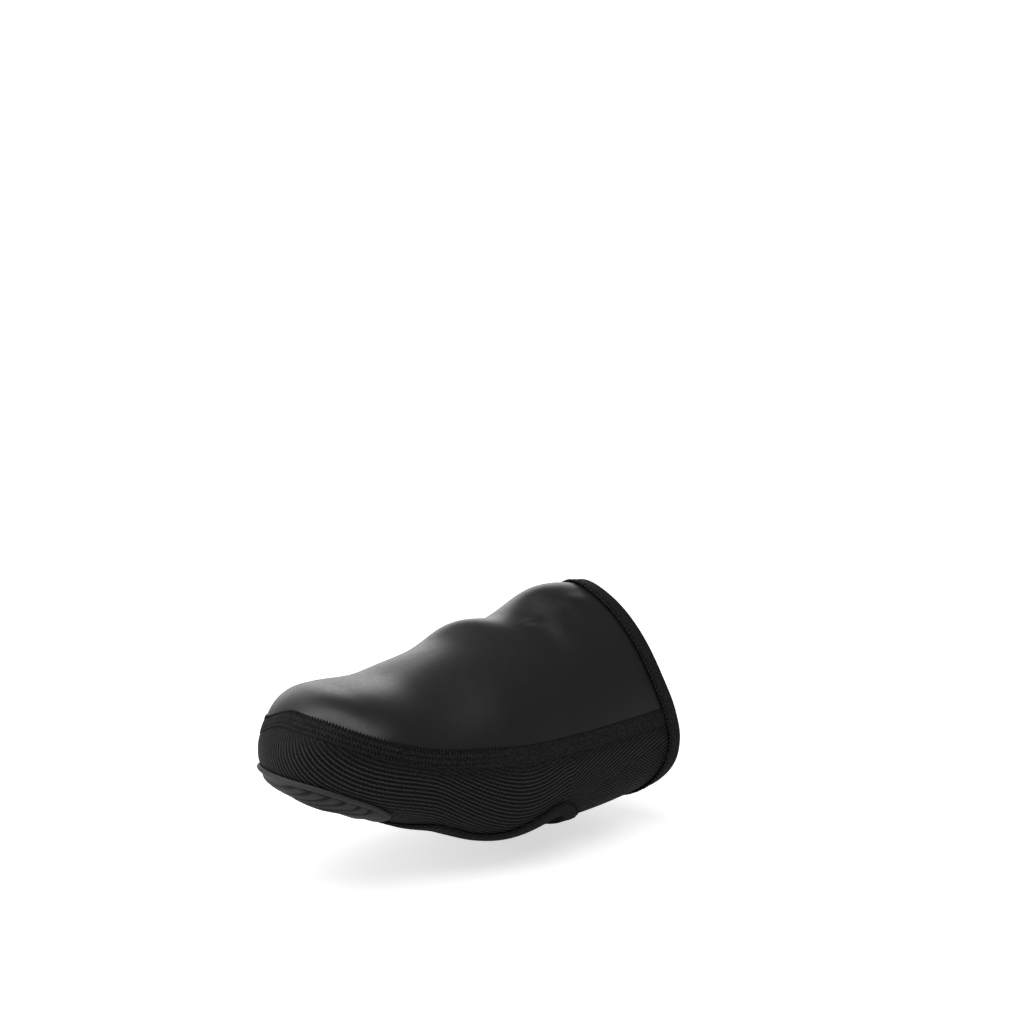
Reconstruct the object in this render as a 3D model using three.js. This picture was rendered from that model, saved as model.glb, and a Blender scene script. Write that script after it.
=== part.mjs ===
// Cycling toe cover for the right foot: a stretch cover worn over the front half of a cycling shoe.
// Millimetres, +Z up. -Y points to the toe and +X to the big-toe side. The origin lies on the
// underside of the shoe's sole, at the ball of the foot, in the middle of the cleat opening.
//
// The worn shape is one smooth body, given by a few cross sections. Every cloth piece is a patch of
// that body's surface with a thickness, so neighbouring pieces always follow each other.
import * as THREE from "three";

// ---- Driving sizes -------------------------------------------------------------------------
const WALL = 1.6; // thickness of both cloths
const GAP = 0.3; // clearance between neighbouring pieces
// The folded edge tape: depth is its closed fold, slack its clearance to the cloth inside the fold.
const TAPE = { width: 7.5, thick: 0.8, depth: 1.2, slack: 0.45 };
const SEAM_RISE = 0.35; // how far the flat seam stands proud of the cloth
const TOE_TIP = -95.5; // foremost point of the body
const TOE_CENTRE = -52; // where the toe starts to round off
const FAN_CENTRE = -36; // the toe's lines of points spread from here
const POWERS = { toe: 2.15, side: 2.4, sole: 3.2 }; // roundness of the toe, the sides and the sole
const OPENING = { front: -46, rear: 31, corner: 11 }; // cleat opening along Y, and its corner radius
const PAD = { rear: -54.5, bow: 4, halfWidth: 40, halfTurn: THREE.MathUtils.degToRad(60) };

// Cross sections: where the widest line lies, the half widths to each side, and top and bottom.
const SECTIONS = table("y middle medial lateral top bottom widest power", [
  [-97, 8, 34, 37, 63, 33, 46, 2.3],
  [-80, 7, 37, 41, 72, 29, 43, 2.2],
  [-60, 5, 40, 44, 71, 19.5, 38, 2.6],
  [-35, 3, 44.5, 48, 72, 8, 33, 2.2],
  [0, 0, 50, 52, 80, -4, 28, 2.1],
  [30, -2, 48.5, 50, 88, -2, 26, 1.95],
  [60, -3, 45, 46, 94, -0.5, 27, 1.9],
  [105, -4, 39, 41, 101, 6, 30, 1.8],
]);

// The flat seam between the smooth upper and the ribbed mesh: heights of its two edges, and how
// much lower it runs on the little-toe side of the toe.
const SEAM = table("y upper lower", [
  [-97, 63.6, 58.4],
  [-88, 64.1, 58.3],
  [-84, 64, 57.1],
  [-80, 63.1, 55.3],
  [-76, 61.5, 53.6],
  [-71, 59.5, 51.5],
  [-64, 56.7, 49.6],
  [-57, 54.1, 47.1],
  [-50, 51.9, 44.7],
  [-44, 50.1, 42.8],
  [-36, 48.4, 41.3],
  [-19, 46.3, 38.8],
  [8, 44.2, 36.7],
  [40, 43.5, 36],
  [64, 44, 36.5],
  [105, 45.5, 38],
]);
const SEAM_DROP = 7.5;

// The rear edge leans back from the instep, is furthest back low on the sides and turns under.
const REAR_EDGE = table("z y", [
  [-8, 80],
  [2, 83],
  [10, 90],
  [18, 96],
  [29, 99],
  [42, 97],
  [60, 91],
  [78, 85.5],
  [90, 81],
  [98, 77],
]);

// Height of the cleat opening's side edges, which climb towards the arch.
const OPENING_EDGE = table("y z", [
  [-50, 19],
  [-30, 10.2],
  [-14, 4.6],
  [-4, 3.5],
  [6, 4.8],
  [16, 7.6],
  [27, 11],
  [40, 14],
]);

// The dart that joins the sides to the strap under the arch.
const DART = table("y z", [
  [10, 0],
  [20, 7],
  [31, 13.2],
  [41, 16.7],
  [62, 23],
  [84, 28],
  [100, 30.5],
]);

// Upper rim of the rubber toe pad, and how far the pad stands out from its rim to its rear edge.
const PAD_RIM = table("y z", [
  [-97, 41.5],
  [-88, 39],
  [-75, 33.6],
  [-66, 29.5],
  [-58, 24.4],
]);
const PAD_PROFILE = table("share rise", [
  [0, 1.5],
  [0.07, 1.9],
  [0.1, 1.0],
  [0.14, 2.6],
  [0.3, 3.6],
  [0.33, 2.9],
  [0.36, 3.9],
  [0.56, 4.4],
  [0.59, 3.7],
  [0.62, 4.4],
  [0.85, 3.8],
  [1, 1.6],
]);

// Bumps over the shoe's closures, and the dents and creases between them. Each fades in over
// RELIEF_FADE above its own low height.
const RELIEF = table("x y reachX reachY turn rise low", [
  [-21, -73, 15, 14, 0, 1.5, 50],
  [-4, -38, 24, 10, 0, -0.8, 44],
  [-22, -28, 14, 16, 0, 1.2, 44],
  [-19, 7, 12, 8, 0.4, 2.2, 44],
  [-8, 14, 16, 12, 0, 3.4, 44],
  [-8, 27, 20, 8, 0, -1, 44],
  [-6, 56, 18, 14, 0, 2.4, 44],
  [-8, 48, 20, 11, 0.1, 3, 44],
  [-8, 63, 17, 12, 0, 2, 44],
  [14, 36, 8, 3.2, 0.5, 1.7, 44],
  [22, 35, 8, 5, 0.3, -1.5, 44],
  [19, 20, 8, 5, 0.2, -1, 44],
  [12, 60, 9, 4.5, 1.4, 1.2, 44],
  [16, 53, 5, 4, 0.4, -1, 44],
  [20, 69, 7, 4, 0.4, -1.2, 44],
]);
const RELIEF_FADE = 12;

// ---- Tables and curves ---------------------------------------------------------------------
function table(columns, rows) {
  const names = columns.split(" ");
  return Object.fromEntries(names.map((name, column) => [name, rows.map((row) => row[column])]));
}

/** Smooth curve through one column of a table, read at a place in another column. */
function smooth(at, values, place) {
  const last = at.length - 1;
  const x = THREE.MathUtils.clamp(place, at[0], at[last]);
  let k = 0;
  while (k < last - 1 && x > at[k + 1]) k += 1;
  const slope = (i) => {
    if (i === 0) return (values[1] - values[0]) / (at[1] - at[0]);
    if (i === last) return (values[last] - values[last - 1]) / (at[last] - at[last - 1]);
    const before = at[i] - at[i - 1];
    const after = at[i + 1] - at[i];
    const rise = (values[i] - values[i - 1]) / before;
    const next = (values[i + 1] - values[i]) / after;
    return (rise * after + next * before) / (before + after);
  };
  const span = at[k + 1] - at[k];
  const t = (x - at[k]) / span;
  const ends = (1 + 2 * t) * (1 - t) ** 2 * values[k] + t ** 2 * (3 - 2 * t) * values[k + 1];
  const bends = t * (1 - t) ** 2 * slope(k) - t ** 2 * (1 - t) * slope(k + 1);
  return ends + bends * span;
}

/** Height of an edge of the seam beside a point. */
function seamAt(edge, p) {
  const aside = THREE.MathUtils.smoothstep(7 - p.x, 0, 26);
  const ahead = THREE.MathUtils.clamp((-40 - p.y) / 35, 0, 1);
  return smooth(SEAM.y, edge, p.y) - SEAM_DROP * aside * ahead;
}

const seamUpper = (p) => seamAt(SEAM.upper, p);
const seamLower = (p) => seamAt(SEAM.lower, p);
const rearEdge = (z) => smooth(REAR_EDGE.z, REAR_EDGE.y, z);
const openingEdge = (y) => smooth(OPENING_EDGE.y, OPENING_EDGE.z, y);
const dart = (y) => smooth(DART.y, DART.z, y);
const padRim = (y) => smooth(PAD_RIM.y, PAD_RIM.z, y);

/** The place between low and high where a rising function passes zero. */
function solve(low, high, rising) {
  let a = low;
  let b = high;
  for (let step = 0; step < 36; step += 1) {
    const middle = (a + b) / 2;
    if (rising(middle) < 0) a = middle;
    else b = middle;
  }
  return (a + b) / 2;
}

// ---- The body ------------------------------------------------------------------------------
function sectionAt(y) {
  const read = (name) => smooth(SECTIONS.y, SECTIONS[name], y);
  return {
    middle: read("middle"),
    medial: read("medial"),
    lateral: read("lateral"),
    top: read("top"),
    bottom: read("bottom"),
    widest: read("widest"),
    power: read("power"),
  };
}

/** Below zero inside the body, zero on its surface. */
function body(p, s = sectionAt(p.y)) {
  const side = Math.abs(p.x - s.middle) / (p.x >= s.middle ? s.medial : s.lateral);
  const nose = Math.max(0, (TOE_CENTRE - p.y) / (TOE_CENTRE - TOE_TIP));
  const around = (side ** POWERS.toe + nose ** POWERS.toe) ** (1 / POWERS.toe);
  if (p.z >= s.widest) {
    return around ** s.power + ((p.z - s.widest) / (s.top - s.widest)) ** s.power - 1;
  }
  return around ** POWERS.side + ((s.widest - p.z) / (s.widest - s.bottom)) ** POWERS.sole - 1;
}

function gradient(p) {
  const h = 0.05;
  const step = (x, y, z) => body(new THREE.Vector3(p.x + x, p.y + y, p.z + z));
  return new THREE.Vector3(
    step(h, 0, 0) - step(-h, 0, 0),
    step(0, h, 0) - step(0, -h, 0),
    step(0, 0, h) - step(0, 0, -h),
  ).divideScalar(2 * h);
}

/** Where a ray from inside the body leaves it. */
function leave(origin, direction) {
  const s = direction.y === 0 ? sectionAt(origin.y) : undefined;
  const far = solve(0, 160, (d) => body(origin.clone().addScaledVector(direction, d), s));
  return origin.clone().addScaledVector(direction, far);
}

/** Point of the cross section at y, at an angle about its widest line: 0 medial, 90 degrees up. */
function onSection(y, angle) {
  const s = sectionAt(y);
  const origin = new THREE.Vector3(s.middle, y, s.widest);
  return leave(origin, new THREE.Vector3(Math.cos(angle), 0, Math.sin(angle)));
}

/** Point seen from inside the body at y: turn 0 medial, 90 degrees to the rear, angle upwards. */
function fromInside(y, turn, angle) {
  const s = sectionAt(y);
  const flat = Math.cos(angle);
  const direction = new THREE.Vector3(
    flat * Math.cos(turn),
    flat * Math.sin(turn),
    Math.sin(angle),
  );
  return leave(new THREE.Vector3(s.middle, y, s.widest), direction);
}

/** Point of the toe, seen from the fan's centre: turn 0 medial, 90 degrees straight ahead. */
const onToe = (turn, angle) => fromInside(FAN_CENTRE, -turn, angle);

/** Height that the bumps, dents and creases add at a point of the upper. */
function relief(p) {
  return RELIEF.x.reduce((height, x, row) => {
    const dx = p.x - x;
    const dy = p.y - RELIEF.y[row];
    const cos = Math.cos(RELIEF.turn[row]);
    const sin = Math.sin(RELIEF.turn[row]);
    const along = (dx * cos + dy * sin) / RELIEF.reachX[row];
    const across = (dy * cos - dx * sin) / RELIEF.reachY[row];
    const fade = THREE.MathUtils.smoothstep(p.z - RELIEF.low[row], 0, RELIEF_FADE);
    return height + RELIEF.rise[row] * Math.exp(-(along ** 2) - across ** 2) * fade;
  }, 0);
}

/** A point of the body moved out along the surface's normal, with the relief added. */
function offset(p, distance) {
  const normal = gradient(p).normalize();
  return p.clone().addScaledVector(normal, distance + relief(p));
}

/** A point near the surface, moved onto it. */
function onSurface(p) {
  const q = p.clone();
  for (let turn = 0; turn < 3; turn += 1) {
    const slope = gradient(q);
    q.addScaledVector(slope, -body(q) / slope.lengthSq());
  }
  return q;
}

// ---- Solids --------------------------------------------------------------------------------
function geometryOf(vertices, faces) {
  const geometry = new THREE.BufferGeometry();
  const positions = vertices.flatMap((v) => [v.x, v.y, v.z]);
  geometry.setAttribute("position", new THREE.Float32BufferAttribute(positions, 3));
  geometry.setIndex(faces.flat());
  geometry.computeVertexNormals();
  return geometry;
}

/** Two triangles of a quad, cut along its shorter diagonal. */
function splitQuad(points, a, b, c, d) {
  const cut = points[a].distanceTo(points[c]) <= points[b].distanceTo(points[d]);
  return cut ? [[a, b, c], [a, c, d]] : [[a, b, d], [b, c, d]];
}

/**
 * A closed sheet from grids of surface points. Grids that share an edge are joined there. A point's
 * own rise, where it has one, is added on the outside.
 */
function sheet(grids, outside, inside) {
  const points = [];
  const known = new Map();
  const indexOf = (p) => {
    const key = [p.x, p.y, p.z].map((v) => Math.round(v * 500)).join();
    if (!known.has(key)) known.set(key, points.push(p) - 1);
    return known.get(key);
  };
  const faces = [];
  const addFace = (a, b, c) => {
    if (a === b || b === c || c === a) return;
    const [p, q, r] = [points[a], points[b], points[c]];
    const facing = q.clone().sub(p).cross(r.clone().sub(p)).dot(gradient(p));
    faces.push(facing > 0 ? [a, b, c] : [a, c, b]);
  };
  for (const grid of grids) {
    const ids = grid.map((line) => line.map(indexOf));
    for (let i = 0; i < ids.length - 1; i += 1) {
      for (let j = 0; j < ids[i].length - 1; j += 1) {
        const quad = [ids[i][j], ids[i + 1][j], ids[i + 1][j + 1], ids[i][j + 1]];
        splitQuad(points, ...quad).forEach((face) => addFace(...face));
      }
    }
  }
  const count = points.length;
  const outer = points.map((p) => offset(p, outside + (p.rise ?? 0)));
  const inner = points.map((p) => offset(p, inside));
  const closed = [...faces, ...faces.map(([a, b, c]) => [a + count, c + count, b + count])];
  const edges = new Set(faces.flatMap(([a, b, c]) => [`${a},${b}`, `${b},${c}`, `${c},${a}`]));
  for (const edge of edges) {
    const [a, b] = edge.split(",").map(Number);
    if (edges.has(`${b},${a}`)) continue;
    closed.push([b, a, a + count], [b, a + count, b + count]);
  }
  return geometryOf([...outer, ...inner], closed);
}

/** Closed loop of evenly spaced surface points through the given ones. */
function evenLoop(points, count) {
  const curve = new THREE.CatmullRomCurve3(points, true, "centripetal");
  curve.arcLengthDivisions = count * 8;
  return curve.getSpacedPoints(count).slice(0, count).map(onSurface);
}

/** Folded tape round a loop of edge points; inward points from the edge into the cloth. */
function foldedTape(loop, inward) {
  const outside = TAPE.slack + TAPE.thick;
  const inside = -WALL - TAPE.slack - TAPE.thick;
  const profile = [
    { reach: TAPE.width, out: TAPE.slack },
    { reach: TAPE.width, out: outside * 0.8 },
    { reach: TAPE.width - 1, out: outside },
    { reach: 0.9, out: outside },
    { reach: 0, out: outside - 0.9 },
    { reach: 0, out: inside + 0.9 },
    { reach: 0.9, out: inside },
    { reach: TAPE.width - 1, out: inside },
    { reach: TAPE.width, out: -WALL - TAPE.slack - TAPE.thick * 0.6 },
    { reach: TAPE.width, out: -WALL - TAPE.slack },
    { reach: TAPE.width * 0.6, out: -WALL - TAPE.slack },
    { reach: TAPE.depth, out: -WALL - TAPE.slack },
    { reach: TAPE.depth, out: TAPE.slack },
    { reach: TAPE.width * 0.6, out: TAPE.slack },
  ];
  const count = loop.length;
  const rings = loop.map((p, i) => {
    const along = loop[(i + 1) % count].clone().sub(loop[(i + count - 1) % count]).normalize();
    const into = gradient(p).cross(along).normalize().multiplyScalar(inward);
    return profile.map(({ reach, out }) => {
      return offset(onSurface(p.clone().addScaledVector(into, reach)), out);
    });
  });
  const vertices = rings.flat();
  const size = profile.length;
  const faces = [];
  for (let i = 0; i < count; i += 1) {
    for (let j = 0; j < size; j += 1) {
      const next = ((i + 1) % count) * size;
      const corner = (j + 1) % size;
      const quad = [i * size + j, next + j, next + corner, i * size + corner];
      faces.push(...splitQuad(vertices, ...quad));
    }
  }
  return geometryOf(vertices, volumeOf(vertices, faces) > 0 ? faces : faces.map(flip));
}

const flip = ([a, b, c]) => [a, c, b];

function volumeOf(vertices, faces) {
  return faces.reduce((sum, [a, b, c]) => {
    return sum + vertices[a].dot(vertices[b].clone().cross(vertices[c])) / 6;
  }, 0);
}

// ---- Lines of points on the body -----------------------------------------------------------
const range = (count, from = 0, to = 1) =>
  Array.from({ length: count + 1 }, (_, i) => from + ((to - from) * i) / count);

/** Surface points at given shares of a polyline's length. */
function spread(line, shares) {
  const length = [0];
  for (let i = 1; i < line.length; i += 1) length.push(length[i - 1] + line[i].distanceTo(line[i - 1]));
  return shares.map((share) => {
    const distance = share * length.at(-1);
    let k = 0;
    while (k < line.length - 2 && distance > length[k + 1]) k += 1;
    const t = (distance - length[k]) / (length[k + 1] - length[k]);
    return onSurface(line[k].clone().lerp(line[k + 1], t));
  });
}

/** Station between the fan's centre (share 0) and the cloth's rear edge (share 1). */
const stationAt = (share, z) =>
  FAN_CENTRE + (rearEdge(z) - TAPE.depth - GAP - FAN_CENTRE) * share;

/** Point at an angle on the slanting section that lies at a share of the length. */
function onStation(share, angle) {
  let p = onSection(stationAt(share, sectionAt(0).widest), angle);
  for (let turn = 0; turn < 5; turn += 1) p = onSection(stationAt(share, p.z), angle);
  return p;
}

const UP = Math.PI / 2;

/** How far a point lies outside the cleat opening, with rounded corners. */
function beyondOpening(p) {
  const r = OPENING.corner;
  const ahead = Math.max(0, OPENING.front - p.y + r);
  const behind = Math.max(0, p.y - OPENING.rear + r);
  const above = Math.max(0, p.z - openingEdge(p.y) + r);
  return Math.hypot(ahead, behind, above) - r;
}

/**
 * Lines across the sides and toe, from the medial rear corner round the toe to the lateral one. Each
 * runs from where lower passes zero to where upper does.
 */
function roundTheToe(sideCount, toeCount, lower, upper, across) {
  const line = (pointAt) => {
    const high = solve(-UP, UP, (angle) => upper(pointAt(angle)));
    const low = solve(-UP, high, (angle) => lower(pointAt(angle)));
    return spread(range(24, low, high).map(pointAt), range(across));
  };
  const medial = range(sideCount, 1, 0).map((share) => line((angle) => onStation(share, angle)));
  const toe = range(toeCount, 0, Math.PI).map((turn) => line((angle) => onToe(turn, angle)));
  const lateral = range(sideCount).map((share) => {
    return line((angle) => onStation(share, Math.PI - angle));
  });
  return [medial, toe, lateral];
}

// ---- Pieces --------------------------------------------------------------------------------
const SIDE_LINES = 19;
const TOE_LINES = 24;
const TAPE_STEPS = 72;

/** Smooth coated cloth over the toe and instep, down to the flat seam. */
function upperPanel() {
  const seam = (pointAt) => solve(-UP, UP, (a) => pointAt(a).z - seamUpper(pointAt(a)));
  const rising = (pointAt) => spread(range(32, seam(pointAt), UP).map(pointAt), range(9));
  const stations = range(SIDE_LINES);
  const medial = stations.map((share) => rising((angle) => onStation(share, angle)));
  const lateral = stations.map((share) => rising((angle) => onStation(share, Math.PI - angle)));
  const toe = range(TOE_LINES, 0, Math.PI).map((turn) => rising((angle) => onToe(turn, angle)));
  return sheet([medial, toe, lateral], 0, -WALL);
}

/** Ribbed mesh: both sides, the front of the toe and its underside ahead of the opening. */
function meshPanel() {
  const lower = (p) => {
    const hem = beyondOpening(p) - TAPE.depth - GAP;
    return Math.min(hem, p.z - dart(p.y) - GAP / 2);
  };
  const upper = (p) => p.z - seamLower(p) + GAP / 2;
  return sheet(roundTheToe(SIDE_LINES, TOE_LINES, lower, upper, 8), 0, -WALL);
}

/** Flat stitched seam that joins the two cloths. */
function seamBand() {
  const lower = (p) => p.z - seamLower(p) - GAP / 2;
  const upper = (p) => p.z - seamUpper(p) + GAP;
  const grids = roundTheToe(SIDE_LINES, TOE_LINES, lower, upper, 2);
  grids.flat(2).forEach((p) => {
    const toTape = rearEdge(p.z) - TAPE.width - p.y;
    p.rise = SEAM_RISE * THREE.MathUtils.clamp(toTape / 4, 0, 1);
  });
  return sheet(grids, 0, -WALL);
}

/** Strap of the same mesh under the arch, from one dart to the other behind the opening. */
function archStrap() {
  const onDart = (y) => {
    const below = (angle) => onSection(y, angle).z - dart(y) + GAP / 2;
    return solve(-UP, UP / 2, below);
  };
  const hem = (p) => beyondOpening(p) - TAPE.depth - GAP;
  const rear = (p) => p.y - rearEdge(p.z) + TAPE.depth + GAP;
  const frontCorner = solve(15, 60, (y) => hem(onSection(y, onDart(y))));
  const rearCorner = solve(60, 110, (y) => rear(onSection(y, onDart(y))));
  const edgeAngle = (share) => onDart(THREE.MathUtils.lerp(frontCorner, rearCorner, share));
  const turnTo = (share, across) => {
    const medial = edgeAngle(share);
    return THREE.MathUtils.lerp(medial, -Math.PI - medial, across);
  };
  const inStrap = (p) => Math.min(hem(p), dart(p.y) - GAP / 2 - p.z);
  const closerAtTheDarts = range(24, 0, Math.PI).map((turn) => (1 - Math.cos(turn)) / 2);
  const grid = closerAtTheDarts.map((across) => {
    const front = solve(15, 60, (y) => inStrap(onSection(y, turnTo(0, across))));
    const back = solve(60, 110, (y) => rear(onSection(y, turnTo(1, across))));
    return range(8).map((share) => {
      return onSection(THREE.MathUtils.lerp(front, back, share), turnTo(share, across));
    });
  });
  return sheet([grid], 0, -WALL);
}

/** Tape folded over the rear edge, all the way round. */
function openingBinding() {
  const loop = range(48, 0, 2 * Math.PI).slice(1).map((angle) => {
    let p = onSection(rearEdge(sectionAt(0).widest), angle);
    for (let turn = 0; turn < 6; turn += 1) p = onSection(rearEdge(p.z), angle);
    return p;
  });
  return foldedTape(evenLoop(loop, TAPE_STEPS), 1);
}

/** Tape folded over the edge of the cleat opening. */
function cleatBinding() {
  const centre = (OPENING.front + OPENING.rear) / 2;
  const loop = range(64, 0, 2 * Math.PI).slice(1).map((turn) => {
    const pointAt = (angle) => fromInside(centre, turn, angle);
    return pointAt(solve(-UP, 0, (angle) => beyondOpening(pointAt(angle))));
  });
  return foldedTape(evenLoop(loop, TAPE_STEPS), 1);
}

/** Ribbed rubber pad that guards the underside of the toe. */
function toePad() {
  const rear = (p) => PAD.rear - PAD.bow * (p.x / PAD.halfWidth) ** 2 - p.y;
  const grid = range(20, UP - PAD.halfTurn, UP + PAD.halfTurn).map((turn) => {
    const pointAt = (angle) => onToe(turn, angle);
    const rim = solve(-UP, UP / 2, (angle) => pointAt(angle).z - padRim(pointAt(angle).y));
    const low = solve(-UP, rim, (angle) => rear(pointAt(angle)));
    const line = spread(range(32, rim, low).map(pointAt), PAD_PROFILE.share);
    line.forEach((p, row) => {
      p.rise = PAD_PROFILE.rise[row];
    });
    return line;
  });
  return sheet([grid], 0, GAP + 0.1);
}

const PIECES = [
  ["upper_panel", upperPanel, 0x26262a, 0.5],
  ["mesh_panel", meshPanel, 0x1d1d1f, 0.9],
  ["arch_strap", archStrap, 0x1d1d1f, 0.9],
  ["seam_band", seamBand, 0x242426, 0.85],
  ["opening_binding", openingBinding, 0x2a2a2c, 0.95],
  ["cleat_binding", cleatBinding, 0x2a2a2c, 0.95],
  ["toe_pad", toePad, 0x4a4a4c, 0.6],
];

const cover = new THREE.Group();
cover.name = "toe_cover";
for (const [name, make, color, roughness] of PIECES) {
  const mesh = new THREE.Mesh(make(), new THREE.MeshStandardMaterial({ color, roughness }));
  mesh.name = name;
  cover.add(mesh);
}

export default cover;
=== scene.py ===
# %% [markdown]
# # A cycling toe cover, dressed in Blender
#
# The cover is a stretch cloth shell pulled over the front half of a cycling shoe. Its parts are a
# smooth coated upper, a ribbed mesh round the sides, a strap of the same mesh under the arch, a
# flat stitched seam, two folded knit tapes and a rubber pad under the toe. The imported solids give
# its place and size; here every part gets the finer shape and the finish of the real one.

import math

import bpy
import numpy as np
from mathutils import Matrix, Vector
from mathutils.bvhtree import BVHTree


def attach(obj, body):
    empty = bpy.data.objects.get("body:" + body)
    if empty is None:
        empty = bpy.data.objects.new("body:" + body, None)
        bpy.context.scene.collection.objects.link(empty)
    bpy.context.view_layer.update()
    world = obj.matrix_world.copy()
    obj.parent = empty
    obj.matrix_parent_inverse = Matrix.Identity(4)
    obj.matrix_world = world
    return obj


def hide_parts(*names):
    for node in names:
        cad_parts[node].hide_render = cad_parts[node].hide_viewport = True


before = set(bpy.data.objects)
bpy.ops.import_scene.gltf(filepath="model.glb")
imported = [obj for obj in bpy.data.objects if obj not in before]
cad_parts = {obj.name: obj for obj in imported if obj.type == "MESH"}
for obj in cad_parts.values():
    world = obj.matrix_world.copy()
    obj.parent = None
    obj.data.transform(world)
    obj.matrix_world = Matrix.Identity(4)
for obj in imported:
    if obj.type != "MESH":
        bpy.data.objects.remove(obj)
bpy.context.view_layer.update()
MM = 0.001  # the tables below are in millimetres, Blender works in metres
print("solids:", sorted(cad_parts))

# %% [markdown]
# The camera comes first, because every later choice of detail depends on how large the cover is
# in the render. It looks down a little on the toe and the big-toe side, through a long lens, so that
# the near toe isn't drawn too large against the heel end.

# %% Camera
camera_data = bpy.data.cameras.new("product camera")
camera_data.lens = 72.14
camera_data.sensor_width = 36
camera = bpy.data.objects.new("product camera", camera_data)
bpy.context.collection.objects.link(camera)
camera.location = (0.7101, -0.4972, 0.2770)
aim = Vector((-0.0073, 0.0372, 0.1330)) - camera.location
camera.rotation_euler = aim.to_track_quat("-Z", "Y").to_euler()
bpy.context.scene.camera = camera
print("camera stands", round(aim.length, 3), "m from its aim")

# %% [markdown]
# A stretched cloth takes the shape of what it covers. So there is one smooth body, given by a few
# cross sections, and each cloth part is a patch of its surface with a thickness. The same sizes
# made the solids, apart from a few shallow creases. The patches here have many more points.

# %% The worn shape's sizes
WALL = 1.6  # thickness of the cloths
GAP = 0.3  # between a cloth and the tape that is folded over its edge
HAIR = 0.02  # between cloths that meet edge to edge
TAPE = {"width": 7.5, "thick": 0.8, "depth": 1.2, "slack": 0.45}
TOE_TIP, TOE_CENTRE, FAN_CENTRE = -95.5, -52.0, -36.0  # places in y
MID_HEIGHT = 28.0  # near the widest line, where slanting sections start their search
OPENING = {"front": -46.0, "rear": 31.0, "corner": 11.0}

# y, middle, medial half width, lateral half width, top, bottom, height of the widest line, power
SECTIONS = np.array([
    [-97, 8, 34, 37, 63, 33, 46, 2.3],
    [-80, 7, 37, 41, 72, 29, 43, 2.2],
    [-60, 5, 40, 44, 71, 19.5, 38, 2.6],
    [-35, 3, 44.5, 48, 72, 8, 33, 2.2],
    [0, 0, 50, 52, 80, -4, 28, 2.1],
    [30, -2, 48.5, 50, 88, -2, 26, 1.95],
    [60, -3, 45, 46, 94, -0.5, 27, 1.9],
    [105, -4, 39, 41, 101, 6, 30, 1.8],
])
# y, upper edge, lower edge
SEAM = np.array([
    [-97, 63.6, 58.4], [-88, 64.1, 58.3], [-84, 64, 57.1], [-80, 63.1, 55.3], [-76, 61.5, 53.6],
    [-71, 59.5, 51.5], [-64, 56.7, 49.6], [-57, 54.1, 47.1], [-50, 51.9, 44.7], [-44, 50.1, 42.8],
    [-36, 48.4, 41.3], [-19, 46.3, 38.8], [8, 44.2, 36.7], [40, 43.5, 36], [64, 44, 36.5],
    [105, 45.5, 38],
])
SEAM_DROP = 7.5  # how much lower the seam runs on the little-toe side of the toe
REAR_EDGE = np.array([  # z, y
    [-8, 80], [2, 83], [10, 90], [18, 96], [29, 99], [42, 97], [60, 91], [78, 85.5], [90, 81],
    [98, 77],
])
OPENING_EDGE = np.array([  # y, z
    [-50, 19], [-30, 10.2], [-14, 4.6], [-4, 3.5], [6, 4.8], [16, 7.6], [27, 11], [40, 14],
])
DART = np.array([[10, 0], [20, 7], [31, 13.2], [41, 16.7], [62, 23], [84, 28], [100, 30.5]])
PAD_RIM = np.array([[-97, 41.5], [-88, 39], [-75, 33.6], [-66, 29.5], [-58, 24.4]])
# x, y, reach in x, reach in y, turn, rise, height where it starts to fade in
RELIEF = np.array([
    [-21, -73, 15, 14, 0, 1.5, 50], [-4, -38, 24, 10, 0, -0.8, 44], [-22, -28, 14, 16, 0, 1.2, 44],
    [-19, 7, 12, 8, 0.4, 2.2, 44], [-8, 14, 16, 12, 0, 3.4, 44], [-8, 27, 20, 8, 0, -1.0, 44],
    [-6, 56, 18, 14, 0, 2.4, 44], [-8, 48, 20, 11, 0.1, 3.0, 44], [-8, 63, 17, 12, 0, 2.0, 44],
    [10.5, 35, 4.5, 2.1, 1.25, 0.8, 44], [19, 37, 8, 6, 0.3, -0.7, 44],
    [19, 20, 8, 5, 0.2, -0.5, 44], [9, 60, 8, 3.2, 1.5, 0.9, 44], [16, 53, 5, 4, 0.4, -0.5, 44],
    [20, 69, 7, 4, 0.4, -0.4, 44],
])


# %% Smooth curves through the tables
def smooth(table, place):
    """Smooth curves through a table's columns, read at a place in its first column."""
    at, values = table[:, 0], table[:, 1:]
    gap = np.diff(at)
    rise = np.diff(values, axis=0) / gap[:, None]
    slope = np.empty_like(values)
    slope[0], slope[-1] = rise[0], rise[-1]
    before, after = gap[:-1, None], gap[1:, None]
    slope[1:-1] = (rise[:-1] * after + rise[1:] * before) / (before + after)
    x = np.clip(np.asarray(place, float), at[0], at[-1])
    k = np.clip(np.searchsorted(at, x) - 1, 0, len(at) - 2)
    t = ((x - at[k]) / gap[k])[..., None]
    ends = (1 + 2 * t) * (1 - t) ** 2 * values[k] + t**2 * (3 - 2 * t) * values[k + 1]
    bends = t * (1 - t) ** 2 * slope[k] - t**2 * (1 - t) * slope[k + 1]
    result = ends + bends * gap[k][..., None]
    return result[..., 0] if values.shape[1] == 1 else result


# %% Edges of the panels
def seam_at(p, column):
    """Height of an edge of the seam beside points; it falls towards the little toe."""
    aside = np.clip((7 - p[..., 0]) / 26, 0, 1)
    forward = np.clip((-40 - p[..., 1]) / 35, 0, 1)
    drop = SEAM_DROP * aside**2 * (3 - 2 * aside) * forward
    return smooth(SEAM[:, [0, column]], p[..., 1]) - drop


def seam_upper(p):
    return seam_at(p, 1)


def seam_lower(p):
    return seam_at(p, 2)


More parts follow.
